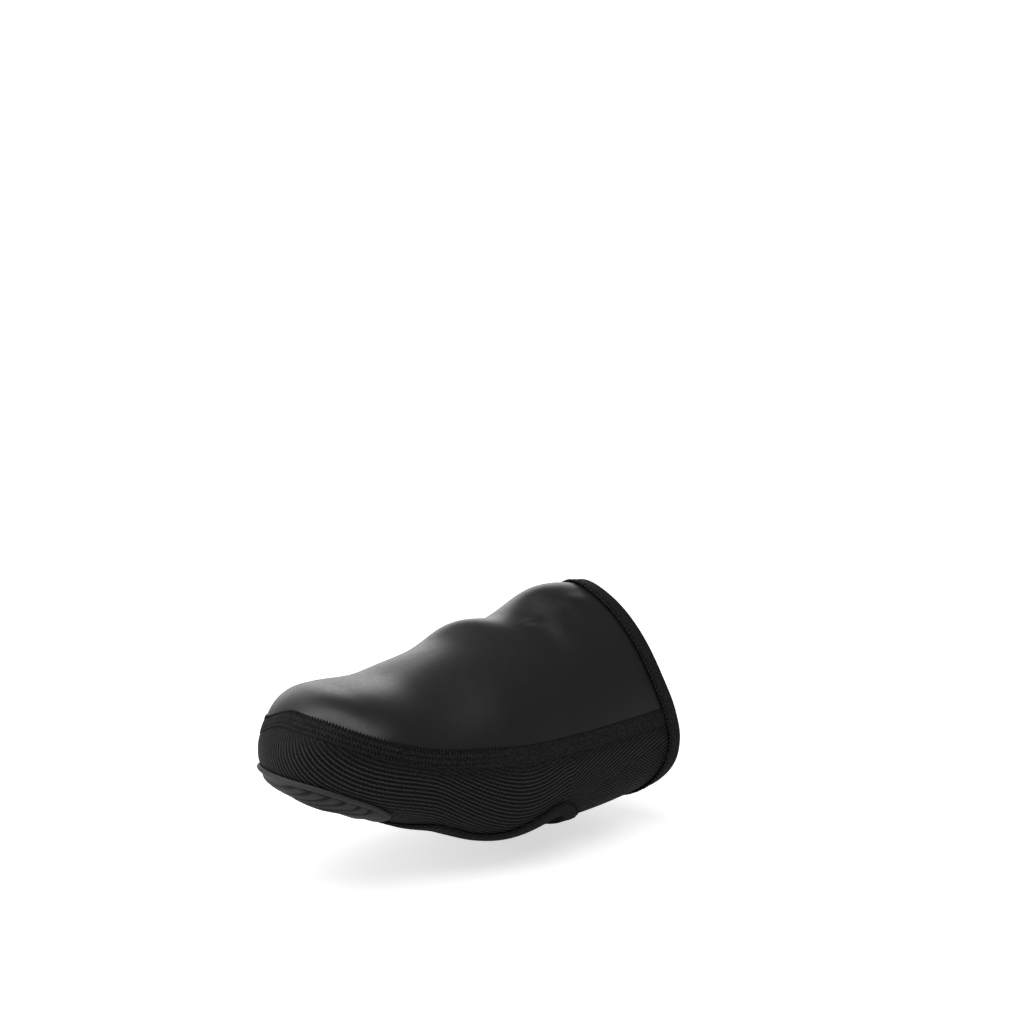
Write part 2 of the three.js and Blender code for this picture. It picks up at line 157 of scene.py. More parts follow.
def rear_edge(z):
    return smooth(REAR_EDGE, z)


# %% Finding an edge by halving
def solve(low, high, rising, steps=30):
    """The places between low and high where a rising function passes zero, one for each entry."""
    low, high = np.broadcast_arrays(np.asarray(low, float), np.asarray(high, float))
    low, high = low.copy(), high.copy()
    for _ in range(steps):
        middle = (low + high) / 2
        below = rising(middle) < 0
        low, high = np.where(below, middle, low), np.where(below, high, middle)
    return (low + high) / 2


# %% [markdown]
# The body is one formula, below zero inside and zero on the surface. It could be sculpted instead,
# but a formula also gives the normal at any point and the place where a ray leaves it, and all
# the panels can then share their edges exactly.

# %% The body and its surface
NOSE_POWER, SOLE_POWER, SOLE_DEPTH_POWER = 2.15, 2.4, 3.2  # 2 is an ellipse, more is squarer


def body(p):
    """Below zero inside the body, zero on its surface. p holds points in its last axis."""
    x, y, z = p[..., 0], p[..., 1], p[..., 2]
    middle, medial, lateral, top, bottom, widest, power = np.moveaxis(smooth(SECTIONS, y), -1, 0)
    side = np.abs(x - middle) / np.where(x >= middle, medial, lateral)
    nose = np.maximum(0, (TOE_CENTRE - y) / (TOE_CENTRE - TOE_TIP))
    around = (side**NOSE_POWER + nose**NOSE_POWER) ** (1 / NOSE_POWER)
    above = around**power + (np.maximum(z - widest, 0) / (top - widest)) ** power
    depth = np.maximum(widest - z, 0) / (widest - bottom)
    below = around**SOLE_POWER + depth**SOLE_DEPTH_POWER
    return np.where(z >= widest, above, below) - 1


def gradient(p, h=0.05):
    steps = np.eye(3) * h
    return np.stack([body(p + s) - body(p - s) for s in steps], axis=-1) / (2 * h)


def normal_at(p):
    g = gradient(p)
    return g / np.linalg.norm(g, axis=-1, keepdims=True)


def on_surface(p, turns=3):
    """Points near the surface, moved onto it."""
    for _ in range(turns):
        g = gradient(p)
        p = p - g * (body(p) / (g**2).sum(-1))[..., None]
    return p


# %% [markdown]
# A panel's points are found with rays from the middle line. Plain sections would crowd at the
# toe's tip, so the rays turn like a fan there, and over the instep the sections slant to end
# along the rear edge.

# %% Rays that leave the body
FARTHEST = 160.0  # no ray from the middle line needs more to leave the body


def leave(y, direction):
    """Where rays that start on the body's middle line at y leave the body."""
    section = smooth(SECTIONS, y)
    start = np.stack([section[..., 0], np.asarray(y, float), section[..., 5]], axis=-1)
    far = solve(np.zeros(direction.shape[:-1]), FARTHEST,
                lambda d: body(start + direction * d[..., None]), 28)
    return start + direction * far[..., None]


def from_inside(y, turn, angle):
    """Points seen from inside at y: turn 0 medial, 90 degrees to the rear, angle upwards."""
    y, turn, angle = np.broadcast_arrays(y, turn, angle)
    flat = np.cos(angle)
    return leave(y, np.stack([flat * np.cos(turn), flat * np.sin(turn), np.sin(angle)], axis=-1))


def on_section(y, angle):
    return from_inside(y, 0.0, angle)


def on_toe(turn, angle):
    return from_inside(FAN_CENTRE, -np.asarray(turn), angle)


def on_station(share, angle):
    """Points on slanting sections: share 0 at the fan's centre, 1 at the cloth's rear edge."""
    def station(z):
        return FAN_CENTRE + (rear_edge(z) - TAPE["depth"] - GAP - FAN_CENTRE) * share

    p = on_section(station(np.full(np.shape(share), MID_HEIGHT)), angle)
    for _ in range(5):
        p = on_section(station(p[..., 2]), angle)
    return p


# %% [markdown]
# The upper bridges the shoe's straps and sinks between them. A cloth simulation could find such
# a shape, but it would need the shoe as well. A few rounded bumps, dents and creases that fade
# out down the sides give the same look, and are the same in every run.

# %% Bumps, dents and creases
def relief(p):
    """Height that the bumps, dents and creases add at points of the upper."""
    height = 0
    for x, y, reach_x, reach_y, turn, rise, low in RELIEF:
        fade = np.clip((p[..., 2] - low) / 12, 0, 1)
        dx, dy = p[..., 0] - x, p[..., 1] - y
        along = (dx * math.cos(turn) + dy * math.sin(turn)) / reach_x
        across = (dy * math.cos(turn) - dx * math.sin(turn)) / reach_y
        height = height + rise * np.exp(-(along**2) - across**2) * fade * fade * (3 - 2 * fade)
    return height


def offset(p, distance):
    return p + normal_at(p) * (distance + relief(p))[..., None]


# %% How close the solids lie
for node in ("upper_panel", "mesh_panel", "arch_strap"):
    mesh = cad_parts[node].data
    corners = np.empty(len(mesh.vertices) * 3)
    mesh.vertices.foreach_get("co", corners)
    corners = corners.reshape(-1, 3) / MM
    off = np.linalg.norm(corners - on_surface(corners), axis=1)
    print(f"{node}: its solid lies {off.min():.2f} to {off.max():.2f} mm from the body")


# %% [markdown]
# Each part becomes a closed shell: an outer skin, an inner skin and a rim that joins them. The
# helper takes a net of surface points with its faces, works out which edges are open and closes
# them, so that any patch of the body can be made with it.

# %% Closed shells from nets of points
def show(name, data):
    """An object for a mesh or a lamp, in the scene."""
    piece = bpy.data.objects.new(name, data)
    bpy.context.collection.objects.link(piece)
    return piece


def link(name, vertices, faces, material, uv=None, sharp=50):
    """A smooth-shaded mesh object from millimetre points, with its own UV map."""
    mesh = bpy.data.meshes.new(name)
    mesh.from_pydata((np.asarray(vertices) * MM).tolist(), [], faces)
    mesh.validate()
    if uv is not None:
        layer = mesh.uv_layers.new(name="cloth")
        index = np.empty(len(mesh.loops), int)
        mesh.loops.foreach_get("vertex_index", index)
        layer.data.foreach_set("uv", np.asarray(uv, float)[index].ravel())
    mesh.shade_smooth()
    mesh.set_sharp_from_angle(angle=math.radians(sharp))
    mesh.materials.append(material)
    return show(name, mesh)


# %% Faces of a shell
def shell_faces(quads, outer, outward):
    """Faces of a closed shell whose inner points follow the outer ones in the same order."""
    count = len(outer)
    a, b, c = (outer[quads[:, k]] for k in (0, 1, 2))
    facing = np.cross(b - a, c - b)
    if (facing * outward[quads[:, 0]]).sum() < 0:
        quads = quads[:, ::-1]
    faces = []
    edges = {}
    for quad in quads.tolist():
        corners = [k for i, k in enumerate(quad) if k != quad[i - 1]]
        if len(set(corners)) < 3:
            continue
        faces.append(corners)
        for i, k in enumerate(corners):
            edges[(corners[i - 1], k)] = True
    inner = [[k + count for k in reversed(face)] for face in faces]
    rim = [[b, a, a + count, b + count] for a, b in edges if (b, a) not in edges]
    return faces + inner + rim


def net(rows, columns):
    """Quads of a grid of points, row by row."""
    ids = np.arange(rows * columns).reshape(rows, columns)
    return np.stack([ids[:-1, :-1], ids[1:, :-1], ids[1:, 1:], ids[:-1, 1:]], -1).reshape(-1, 4)


def skin(name, rows, material, height=0.0, inside=-WALL, uv=None, sharp=50):
    """A closed shell from rows of surface points, between two heights over the body."""
    points = rows.reshape(-1, 3)
    outer, inner = offset(points, height), offset(points, inside)
    if uv is not None:
        uv = np.tile(uv.reshape(-1, 2), (2, 1))
    faces = shell_faces(net(*rows.shape[:2]), outer, normal_at(points))
    return link(name, np.concatenate([outer, inner]), faces, material, uv, sharp)


# %% Names and bodies for the pieces
def add_attribute(piece, name, values):
    attribute = piece.data.attributes.new(name, "FLOAT", "POINT")
    attribute.data.foreach_set("value", np.asarray(values, np.float32).ravel())


def stand_for(piece, *nodes):
    """The piece rides on the cover's one body and stands for the solids that it replaces."""
    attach(piece, "root")
    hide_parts(*nodes)
    piece.data.calc_loop_triangles()
    tree = BVHTree.FromObject(piece, bpy.context.evaluated_depsgraph_get())
    far = 0.0
    for node in nodes:
        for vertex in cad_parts[node].data.vertices:
            far = max(far, tree.find_nearest(vertex.co)[3])
    print(f"{piece.name}: {len(piece.data.loop_triangles)} triangles, "
          f"solid's corners within {far / MM:.2f} mm")


# %% [markdown]
# Materials come in two layers. A node group makes one effect, such as a knit's tiny loops, and can
# be placed in any material with its own sizes. The material itself holds the shader and joins the
# effects to its colour, roughness and bump.

# %% Helpers for node trees
def group_of(name, inputs, outputs):
    """An empty shader node group. An input with a number is a float, any other a vector."""
    tree = bpy.data.node_groups.new(name, "ShaderNodeTree")
    for label, value in inputs.items():
        kind = "NodeSocketFloat" if isinstance(value, float) else "NodeSocketVector"
        socket = tree.interface.new_socket(label, in_out="INPUT", socket_type=kind)
        if value is not None:
            socket.default_value = value
    for label in outputs:
        tree.interface.new_socket(label, in_out="OUTPUT", socket_type="NodeSocketFloat")
    return tree, tree.nodes.new("NodeGroupInput"), tree.nodes.new("NodeGroupOutput")


def fill(tree, socket, value):
    """An input linked to a socket or set to a value."""
    if isinstance(value, bpy.types.NodeSocket):
        tree.links.new(value, socket)
    else:
        socket.default_value = value


def put(tree, kind, settings=(), **inputs):
    """A node with its settings, and its inputs linked to sockets or set to values."""
    node = tree.nodes.new(kind)
    for key, value in dict(settings).items():
        setattr(node, key, value)
    for key, value in inputs.items():
        numbered = key[0] == "i" and key[1:].isdigit()  # i0 is the first input, i1 the second
        fill(tree, node.inputs[int(key[1:]) if numbered else key.replace("_", " ")], value)
    return node


def maths(tree, operation, a, b=0.0):
    return put(tree, "ShaderNodeMath", {"operation": operation}, i0=a, i1=b).outputs[0]


def times(tree, a, b):
    return maths(tree, "MULTIPLY", a, b)


def plus(tree, a, b):
    return maths(tree, "ADD", a, b)


def effect(tree, group, **inputs):
    """One of the shared effects, placed in a material."""
    return put(tree, "ShaderNodeGroup", {"node_tree": group}, **inputs).outputs


# %% Helpers for colours and materials
def spread_to(tree, value, low, high, to_low=0.0, to_high=1.0):
    """A value mapped from one range to another, smoothly and clamped."""
    return put(tree, "ShaderNodeMapRange", {"interpolation_type": "SMOOTHSTEP"}, Value=value,
               From_Min=low, From_Max=high, To_Min=to_low, To_Max=to_high).outputs[0]


def mixed(tree, factor, a, b):
    node = tree.nodes.new("ShaderNodeMix")
    node.data_type = "RGBA"
    for place, value in ((0, factor), (6, a), (7, b)):  # a colour mix's own sockets
        fill(tree, node.inputs[place], value)
    return node.outputs[2]


def grey(value, warm=0.0):
    """A near-grey colour; warm leans it to brown, below zero to blue."""
    return (value * (1 + warm), value, value * (1 - warm), 1)


def material_of(name, roughness=0.6, specular=0.5):
    """A material with its shader set, and its tree."""
    material = bpy.data.materials.new(name)
    material.use_nodes = True
    tree = material.node_tree
    shader = tree.nodes["Principled BSDF"]
    shader.inputs["Roughness"].default_value = roughness
    shader.inputs["Specular IOR Level"].default_value = specular
    return material, tree, shader


# %% [markdown]
# Stitches repeat along a path, which is what Geometry Nodes do best. One tree takes any path,
# spaces points evenly along it and puts a small thread bead on each, turned to the path and to the
# cloth. Its named inputs set the pitch and the bead, so it serves every stitch line on the cover.

# %% Geometry Nodes: beads of thread along a path
stitches = bpy.data.node_groups.new("thread stitches", "GeometryNodeTree")
stitches.interface.new_socket("Geometry", in_out="INPUT", socket_type="NodeSocketGeometry")
for label in ("Pitch", "Length", "Width", "Height", "Turn"):
    stitches.interface.new_socket(label, in_out="INPUT", socket_type="NodeSocketFloat")
stitches.interface.new_socket("Thread", in_out="INPUT", socket_type="NodeSocketMaterial")
stitches.interface.new_socket("Geometry", in_out="OUTPUT", socket_type="NodeSocketGeometry")
start, end = stitches.nodes.new("NodeGroupInput"), stitches.nodes.new("NodeGroupOutput")
wanted = start.outputs
path = put(stitches, "GeometryNodeMeshToCurve", Mesh=wanted["Geometry"]).outputs[0]
path = put(stitches, "GeometryNodeResampleCurve", {"mode": "LENGTH"}, Curve=path,
           Length=wanted["Pitch"]).outputs[0]
outward = put(stitches, "GeometryNodeInputNamedAttribute", {"data_type": "FLOAT_VECTOR"},
              Name="out").outputs[0]
tangent = stitches.nodes.new("GeometryNodeInputTangent").outputs[0]
facing = put(stitches, "FunctionNodeAxesToRotation",
             {"primary_axis": "Z", "secondary_axis": "X"}, i0=outward, i1=tangent)
parity = maths(stitches, "MODULO", stitches.nodes.new("GeometryNodeInputIndex").outputs[0], 2.0)
sign = maths(stitches, "SUBTRACT", times(stitches, parity, 2.0), 1.0)
turn = put(stitches, "FunctionNodeAxisAngleToRotation", Axis=(0, 0, 1),
           Angle=times(stitches, sign, wanted["Turn"]))
turned = put(stitches, "FunctionNodeRotateRotation", {"rotation_space": "LOCAL"},
             i0=facing.outputs[0], i1=turn.outputs[0])
SEGMENTS, RINGS = 8, 5
bead = put(stitches, "GeometryNodeMeshUVSphere", Segments=SEGMENTS, Rings=RINGS,
           Radius=0.5).outputs[0]
bead = put(stitches, "GeometryNodeSetShadeSmooth", Geometry=bead).outputs[0]
size = put(stitches, "ShaderNodeCombineXYZ", X=wanted["Length"], Y=wanted["Width"],
           Z=wanted["Height"])
placed = put(stitches, "GeometryNodeInstanceOnPoints", Points=path, Instance=bead,
             Rotation=turned.outputs[0], Scale=size.outputs[0]).outputs[0]
solid = put(stitches, "GeometryNodeRealizeInstances", Geometry=placed).outputs[0]
solid = put(stitches, "GeometryNodeSetMaterial", Geometry=solid,
            Material=wanted["Thread"]).outputs[0]
stitches.links.new(solid, end.inputs[0])


def sew(name, slot, path, height, material, closed=False, **sizes):
    """A line of stitches along surface points, at a height over the cloth."""
    mesh = bpy.data.meshes.new(name)
    count = len(path)
    edges = [(i, i + 1) for i in range(count - 1)] + ([(count - 1, 0)] if closed else [])
    mesh.from_pydata((offset(path, height) * MM).tolist(), edges, [])
    attribute = mesh.attributes.new("out", "FLOAT_VECTOR", "POINT")
    attribute.data.foreach_set("vector", normal_at(path).ravel().astype(np.float32))
    piece = show(name, mesh)
    modifier = piece.modifiers.new("stitches", "NODES")
    modifier.node_group = stitches
    for item in stitches.interface.items_tree:
        if item.in_out == "INPUT" and item.name in sizes:
            modifier[item.identifier] = sizes[item.name] * (1 if item.name == "Turn" else MM)
        elif item.name == "Thread":
            modifier[item.identifier] = material
    graph = bpy.context.evaluated_depsgraph_get()
    made = bpy.data.meshes.new_from_object(piece.evaluated_get(graph), depsgraph=graph)
    piece.modifiers.remove(modifier)
    piece.data = made
    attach(piece, "root")
    print(f"{name}: {len(made.polygons) // (SEGMENTS * RINGS)} beads")


# %% [markdown]
# Panels are cut along curved edges, not along the sections. Each row of a panel therefore runs
# from its lower edge to its upper one, both found by halving, and its points are spread evenly.

# %% Lines of points between two edges
UP = math.pi / 2
STEPS = 26  # halvings that find an edge to well under a micrometre
TRACE, LONG_TRACE = np.linspace(0, 1, 33), np.linspace(0, 1, 41)  # shares where lines are traced


def spread(line, shares):
    """Points at given shares of each line's length. line is (points, lines, 3)."""
    step = np.linalg.norm(np.diff(line, axis=0), axis=-1)
    length = np.vstack([np.zeros(step.shape[1]), np.cumsum(step, axis=0)])
    result = np.empty((line.shape[1], len(shares), 3))
    for i in range(line.shape[1]):
        at = np.asarray(shares) * length[-1, i]
        for k in range(3):
            result[i, :, k] = np.interp(at, length[:, i], line[:, i, k])
    return on_surface(result)


def lines(point_at, lower, upper, shares):
    """Rows of points from where lower passes zero to where upper does."""
    high = solve(-UP, UP, lambda angle: upper(point_at(angle)), STEPS)
    low = solve(-UP, high, lambda angle: lower(point_at(angle)), STEPS)
    between = [point_at(low + (high - low) * t) for t in TRACE]
    return spread(np.stack(between), shares)


# %% Rows round the toe, and the cleat opening
def round_the_toe(side, toe, lower, upper, shares):
    """Rows from the medial rear corner round the toe to the lateral one."""
    back = np.linspace(1, 0, side + 1)
    turn = np.linspace(0, math.pi, toe + 1)
    medial = lines(lambda a: on_station(back + 0 * a, a + 0 * back), lower, upper, shares)
    front = lines(lambda a: on_toe(turn, a + 0 * turn), lower, upper, shares)
    lateral = lines(lambda a: on_station(back[::-1] + 0 * a, math.pi - a + 0 * back),
                    lower, upper, shares)
    return np.concatenate([medial[:-1], front, lateral[1:]])


def beyond_opening(p):
    """How far points lie outside the cleat opening, with rounded corners."""
    r = OPENING["corner"]
    ahead = np.maximum(0, OPENING["front"] - p[..., 1] + r)
    behind = np.maximum(0, p[..., 1] - OPENING["rear"] + r)
    above = np.maximum(0, p[..., 2] - smooth(OPENING_EDGE, p[..., 1]) + r)
    return np.sqrt(ahead**2 + behind**2 + above**2) - r


def length_along(rows):
    """Distance of each point from the start of its row."""
    step = np.linalg.norm(np.diff(rows, axis=1), axis=-1)
    return np.concatenate([np.zeros((len(rows), 1)), np.cumsum(step, axis=1)], axis=1)


# %% [markdown]
# Three effects serve all the finishes. Grain is noise, drawn out where a cloth is stretched. Knit
# makes ribs and loops from sine waves, because a real knit is that regular. Speckle is a field of
# small cells, for a knit so dense that its rows don't show.

# %% Effect: grain, the fine unevenness of every surface
grain, start, end = group_of("grain", {"Vector": None, "Size": 0.001, "Stretch": (1, 1, 1)},
                             ("Height", "Patches"))
stretched = put(grain, "ShaderNodeVectorMath", {"operation": "MULTIPLY"},
                i0=start.outputs["Vector"], i1=start.outputs["Stretch"]).outputs[0]
per_metre = maths(grain, "DIVIDE", 1.0, start.outputs["Size"])
fine = put(grain, "ShaderNodeTexNoise", Vector=stretched, Scale=per_metre, Detail=3.0,
           Roughness=0.6)
wide = put(grain, "ShaderNodeTexNoise", Vector=stretched,
           Scale=times(grain, per_metre, 0.08), Detail=2.0)
grain.links.new(fine.outputs[0], end.inputs["Height"])
grain.links.new(wide.outputs[0], end.inputs["Patches"])

# %% Effect: knit, rows of small loops, with masks for painted highlight on the ribs and painted shade in the gaps
knit, start, end = group_of(
    "knit",
    {"Vector": None, "Rib pitch": 0.0017, "Loop pitch": 0.0016, "Unevenness": 0.35,
     "Rib share": 0.5, "Joined": 0.25},  # the last is how dark the bridges between holes are
    ("Height", "Rib", "Gap"),
)
jitter = put(knit, "ShaderNodeTexNoise", Vector=start.outputs["Vector"], Scale=520.0, Detail=2.0)
wander = maths(knit, "SUBTRACT", jitter.outputs[0], 0.5)
wander = times(knit, wander, start.outputs["Unevenness"])
place = put(knit, "ShaderNodeSeparateXYZ", i0=start.outputs["Vector"]).outputs
across = maths(knit, "DIVIDE", place[0], start.outputs["Rib pitch"])
across = plus(knit, across, wander)
along = maths(knit, "DIVIDE", place[1], start.outputs["Loop pitch"])
along = plus(knit, along, wander)
row = maths(knit, "FLOOR", across)
along = plus(knit, along, times(knit, row, 0.5))
crest = maths(knit, "SINE", times(knit, across, 2 * math.pi))
bead = maths(knit, "SINE", times(knit, along, 2 * math.pi))
# Rib is the ribs' height, and in the mesh finish also the mask of their painted highlight
rib = spread_to(knit, crest, 0.1, 0.95)
beaded = times(knit, rib, spread_to(knit, bead, -0.9, 0.5, 0.6, 1.0))
hole = maths(knit, "MAXIMUM", spread_to(knit, bead, 0.2, -0.5), start.outputs["Joined"])
# Gap is the gaps' depth, and in the finishes also the mask of painted shade in them
gap = times(knit, spread_to(knit, crest, 0.2, -0.5), hole)
height = maths(knit, "SUBTRACT", times(knit, beaded, start.outputs["Rib share"]),
               times(knit, gap, 0.5))
for label, socket in (("Height", height), ("Rib", beaded), ("Gap", gap)):
    knit.links.new(socket, end.inputs[label])


# %% Effect: speckle, the light and dark loops of a dense knit tape
speckle, start, end = group_of("speckle", {"Vector": None, "Size": 0.0006}, ("Height", "Light"))
per_metre = maths(speckle, "DIVIDE", 1.0, start.outputs["Size"])
loops = put(speckle, "ShaderNodeTexVoronoi", {"feature": "F1"}, Vector=start.outputs["Vector"],
            Scale=per_metre, Randomness=0.8)
fuzz = put(speckle, "ShaderNodeTexNoise", Vector=start.outputs["Vector"],
           Scale=times(speckle, per_metre, 0.7), Detail=4.0, Roughness=0.7)
round_loop = spread_to(speckle, loops.outputs["Distance"], 0.6, 0.05)
light = times(speckle, round_loop, spread_to(speckle, fuzz.outputs[0], 0.25, 0.6))
height = plus(speckle, round_loop, times(speckle, fuzz.outputs[0], 0.5))
speckle.links.new(height, end.inputs["Height"])
speckle.links.new(light, end.inputs["Light"])


# %% Where a pattern is read, and bump
def place_of(tree, uv=True):
    if uv:
        return put(tree, "ShaderNodeUVMap", {"uv_map": "cloth"}).outputs[0]
    return tree.nodes.new("ShaderNodeTexCoord").outputs["Object"]


def finish(tree, shader, colour, height, depth, strength, roughness=None):
    """Colour, bump and, where it varies, roughness, joined to the shader."""
    bump = put(tree, "ShaderNodeBump", Height=height, Strength=strength, Distance=depth)
    tree.links.new(bump.outputs[0], shader.inputs["Normal"])
    tree.links.new(colour, shader.inputs["Base Color"])
    if roughness is not None:
        tree.links.new(roughness, shader.inputs["Roughness"])


# %% [markdown]
# The upper's cloth has a thin soft coat: nearly black and satin, with faint streaks across the foot
# where it is stretched. A coat layer on the shader would look wet, so the roughness alone varies.

# %% Finish: coated stretch cloth
coated, tree, shader = material_of("coated stretch cloth", specular=0.45)
spot = place_of(tree, uv=False)
streaks = effect(tree, grain, Vector=spot, Size=0.0011, Stretch=(0.25, 1.0, 0.12))
weave = effect(tree, grain, Vector=spot, Size=0.00045)
colour = mixed(tree, streaks["Patches"], grey(0.0065, -0.02), grey(0.0110, -0.02))
total = plus(tree, streaks["Height"], times(tree, weave["Height"], 0.35))
finish(tree, shader, colour, total, 0.00012, 0.3,
       spread_to(tree, streaks["Height"], 0.3, 0.75, 0.33, 0.40))

# %% [markdown]
# The mesh is a knit of thin ribs with gaps between them. They could be modelled, but thousands of
# loops a millimetre wide would cost too many faces, so colour and bump draw them in the flat cut's
# own coordinates. The colour paints a highlight on each rib and shade in each gap, so the ribs are
# lighter and the gaps nearly black. The attribute "open" says where the knit is dense, as it is
# beside the seam, and there the painted highlight and shade are weaker.

# %% Finish: ribbed mesh
ribbed, tree, shader = material_of("ribbed mesh", roughness=0.6, specular=0.12)
loops = effect(tree, knit, Vector=place_of(tree))
fibres = effect(tree, speckle, Vector=place_of(tree, uv=False), Size=0.00085)
open_part = put(tree, "ShaderNodeAttribute", {"attribute_name": "open"}).outputs["Fac"]
# painted highlight: the lighter colour of the ribs stands for the light that their fibres catch
rib_highlight = times(tree, loops["Rib"], open_part)
# painted shade in the gaps between the ribs
gap_shade = times(tree, loops["Gap"], open_part)
loops_seen = times(tree, fibres["Light"],
                   spread_to(tree, open_part, 0.1, 1.0, 1.0, 0.4))
ground = mixed(tree, loops_seen, grey(0.003), grey(0.030))
# the ribs' painted highlight is grey(0.052)
ground = mixed(tree, rib_highlight, ground, grey(0.052))
total = plus(tree, times(tree, loops["Height"], open_part),
              times(tree, fibres["Height"], 0.12))
# the gaps' painted shade is nearly black, grey(0.0004)
finish(tree, shader, mixed(tree, gap_shade, ground, grey(0.0004)), total, 0.0005, 0.9)

# %% [markdown]
# The tapes are a dense elastic knit, matt with lighter loops, and the speckle shows it well. The
# cover stitch is the knit effect at another pitch: rows of small holes between chains of thread,
# with painted shade that makes the holes nearly black.

# %% Finish: knit tape
tape_knit, tree, shader = material_of("knit tape", roughness=0.75, specular=0.2)
fibres = effect(tree, speckle, Vector=place_of(tree, uv=False), Size=0.0007)
colour = mixed(tree, fibres["Light"], grey(0.007), grey(0.038))
finish(tree, shader, colour, fibres["Height"], 0.0003, 0.8)

# %% Finish: chained seam
chained, tree, shader = material_of("chained seam", roughness=0.75, specular=0.12)
loops = effect(tree, knit, Vector=place_of(tree), Rib_pitch=0.0024, Loop_pitch=0.00148,
               Unevenness=0.22, Joined=0.0)
fibres = effect(tree, speckle, Vector=place_of(tree, uv=False), Size=0.0008)
open_part = put(tree, "ShaderNodeAttribute", {"attribute_name": "open"}).outputs["Fac"]
# painted shade in the holes, nearly black, grey(0.0004)
gap_shade = times(tree, loops["Gap"], open_part)
ground = mixed(tree, fibres["Light"], grey(0.011), grey(0.045))
total = plus(tree, times(tree, loops["Height"], open_part),
              times(tree, fibres["Height"], 0.25))
finish(tree, shader, mixed(tree, gap_shade, ground, grey(0.0004)), total, 0.0005, 0.9)


# %% Finish: sewing threads
def thread_of(name, specular, dark, light):
    """Sewing thread with a fine twist."""
    material, tree, shader = material_of(name, roughness=0.6, specular=specular)
    twist = effect(tree, grain, Vector=place_of(tree, uv=False), Size=0.0002)["Height"]
    finish(tree, shader, mixed(tree, twist, grey(dark), grey(light)), twist, 0.00006, 0.5)
    return material


thread = thread_of("dark thread", 0.15, 0.0012, 0.004)
pale_thread = thread_of("grey thread", 0.2, 0.02, 0.055)  # for the flecks on the rear tape

# %% [markdown]
# The pad is moulded rubber, dark grey with a fine skin. Its grooves are too narrow for light to
# reach, so the attribute "groove" paints shade into them, darker than the shape alone would make it.

# %% Finish: toe rubber
rubber, tree, shader = material_of("toe rubber", specular=0.3)
grained = effect(tree, grain, Vector=place_of(tree, uv=False), Size=0.0005)
groove_shade = put(tree, "ShaderNodeAttribute", {"attribute_name": "groove"}).outputs["Fac"]
plain = mixed(tree, grained["Patches"], grey(0.034), grey(0.052))
# painted shade in the grooves, nearly black, grey(0.0008)
finish(tree, shader, mixed(tree, groove_shade, plain, grey(0.0008)), grained["Height"], 0.00006, 0.5,
       spread_to(tree, grained["Height"], 0.3, 0.7, 0.48, 0.62))
print("finishes:", sorted(m.name for m in bpy.data.materials))

# %% [markdown]
# The upper is one panel of smooth coated cloth from seam to seam, over the toe and the instep. One
# square grid would pinch at the toe, so its net has two parts that share a line: slanting rows
# over the instep, and a fan round the toe.

# %% Upper panel
SIDE, TOE, RISE = 150, 150, 62
shares = np.linspace(0, 1, RISE + 1)
back = np.linspace(0, 1, SIDE + 1)


def above_seam(p):
    return p[..., 2] - seam_upper(p)


def rising(point_at):
    low = solve(-UP, UP, lambda angle: above_seam(point_at(angle)), STEPS)
    between = [point_at(low + (UP - low) * t) for t in LONG_TRACE]
    return spread(np.stack(between), shares)


# %% The upper's net
medial = rising(lambda a: on_station(back, a + 0 * back))
lateral = rising(lambda a: on_station(back, math.pi - a + 0 * back))
turn = np.linspace(0, math.pi, TOE + 1)
front = rising(lambda a: on_toe(turn, a + 0 * turn))
over = np.concatenate([medial, lateral[:, -2::-1]], axis=1)
points = np.concatenate([over.reshape(-1, 3), front[1:-1, :-1].reshape(-1, 3)])
fan = np.empty((TOE + 1, RISE + 1), int)
fan[0], fan[-1] = np.arange(RISE + 1), np.arange(2 * RISE, RISE - 1, -1)
fan[1:-1, :-1] = over.shape[0] * over.shape[1] + np.arange((TOE - 1) * RISE).reshape(TOE - 1, RISE)
fan[1:-1, -1] = RISE
quads = np.concatenate([
    net(*over.shape[:2]),
    np.stack([fan[1:, :-1], fan[:-1, :-1], fan[:-1, 1:], fan[1:, 1:]], -1).reshape(-1, 4),
])
outward = normal_at(points)
outer, inner = offset(points, 0), offset(points, -WALL)
upper = link("coated_upper", np.concatenate([outer, inner]),
             shell_faces(quads, outer, outward), coated)
stand_for(upper, "upper_panel")

# %% [markdown]
# The mesh is knitted flat, and its ribs keep their direction in the flat piece. On the sides they
# run along the hem, and round the toe the cloth is bent, so that they run up to the seam. Each
# point therefore gets its place in the flat cut as its UV, and the knit is drawn there.

# %% Flat places on the mesh panel
def mesh_lower(p):
    hem = beyond_opening(p) - TAPE["depth"] - GAP
    return np.minimum(hem, p[..., 2] - smooth(DART, p[..., 1]) - HAIR)


def mesh_upper(p):
    return p[..., 2] - seam_lower(p) + HAIR


ON_SIDE, ON_TOE, ON_WIDTH = 140, 170, 49  # steps along a side, round the toe, points across
rows = round_the_toe(ON_SIDE, ON_TOE, mesh_lower, mesh_upper, np.linspace(0, 1, ON_WIDTH))
distance = length_along(rows)
toe_turn = np.concatenate([np.zeros(ON_SIDE), np.linspace(0, math.pi, ON_TOE + 1),
                           np.full(ON_SIDE, math.pi)])
toe_turn = toe_turn - 0.35 * np.sin(toe_turn)  # the ribs turn upright only near the toe's tip
across, along = np.cos(toe_turn)[:, None], np.sin(toe_turn)[:, None]
hem_x, hem_y = rows[:, :1, 0], rows[:, :1, 1]
ahead = 20 - hem_y  # from here forward the ribs slant down, more and more
slant = 0.2 * np.clip(ahead / 60, 0, 1) * np.clip(ahead, 0, 60) / 2 * across
flat_x = (hem_x - slant + across * distance) * MM
flat_y = (hem_y - along * distance) * MM


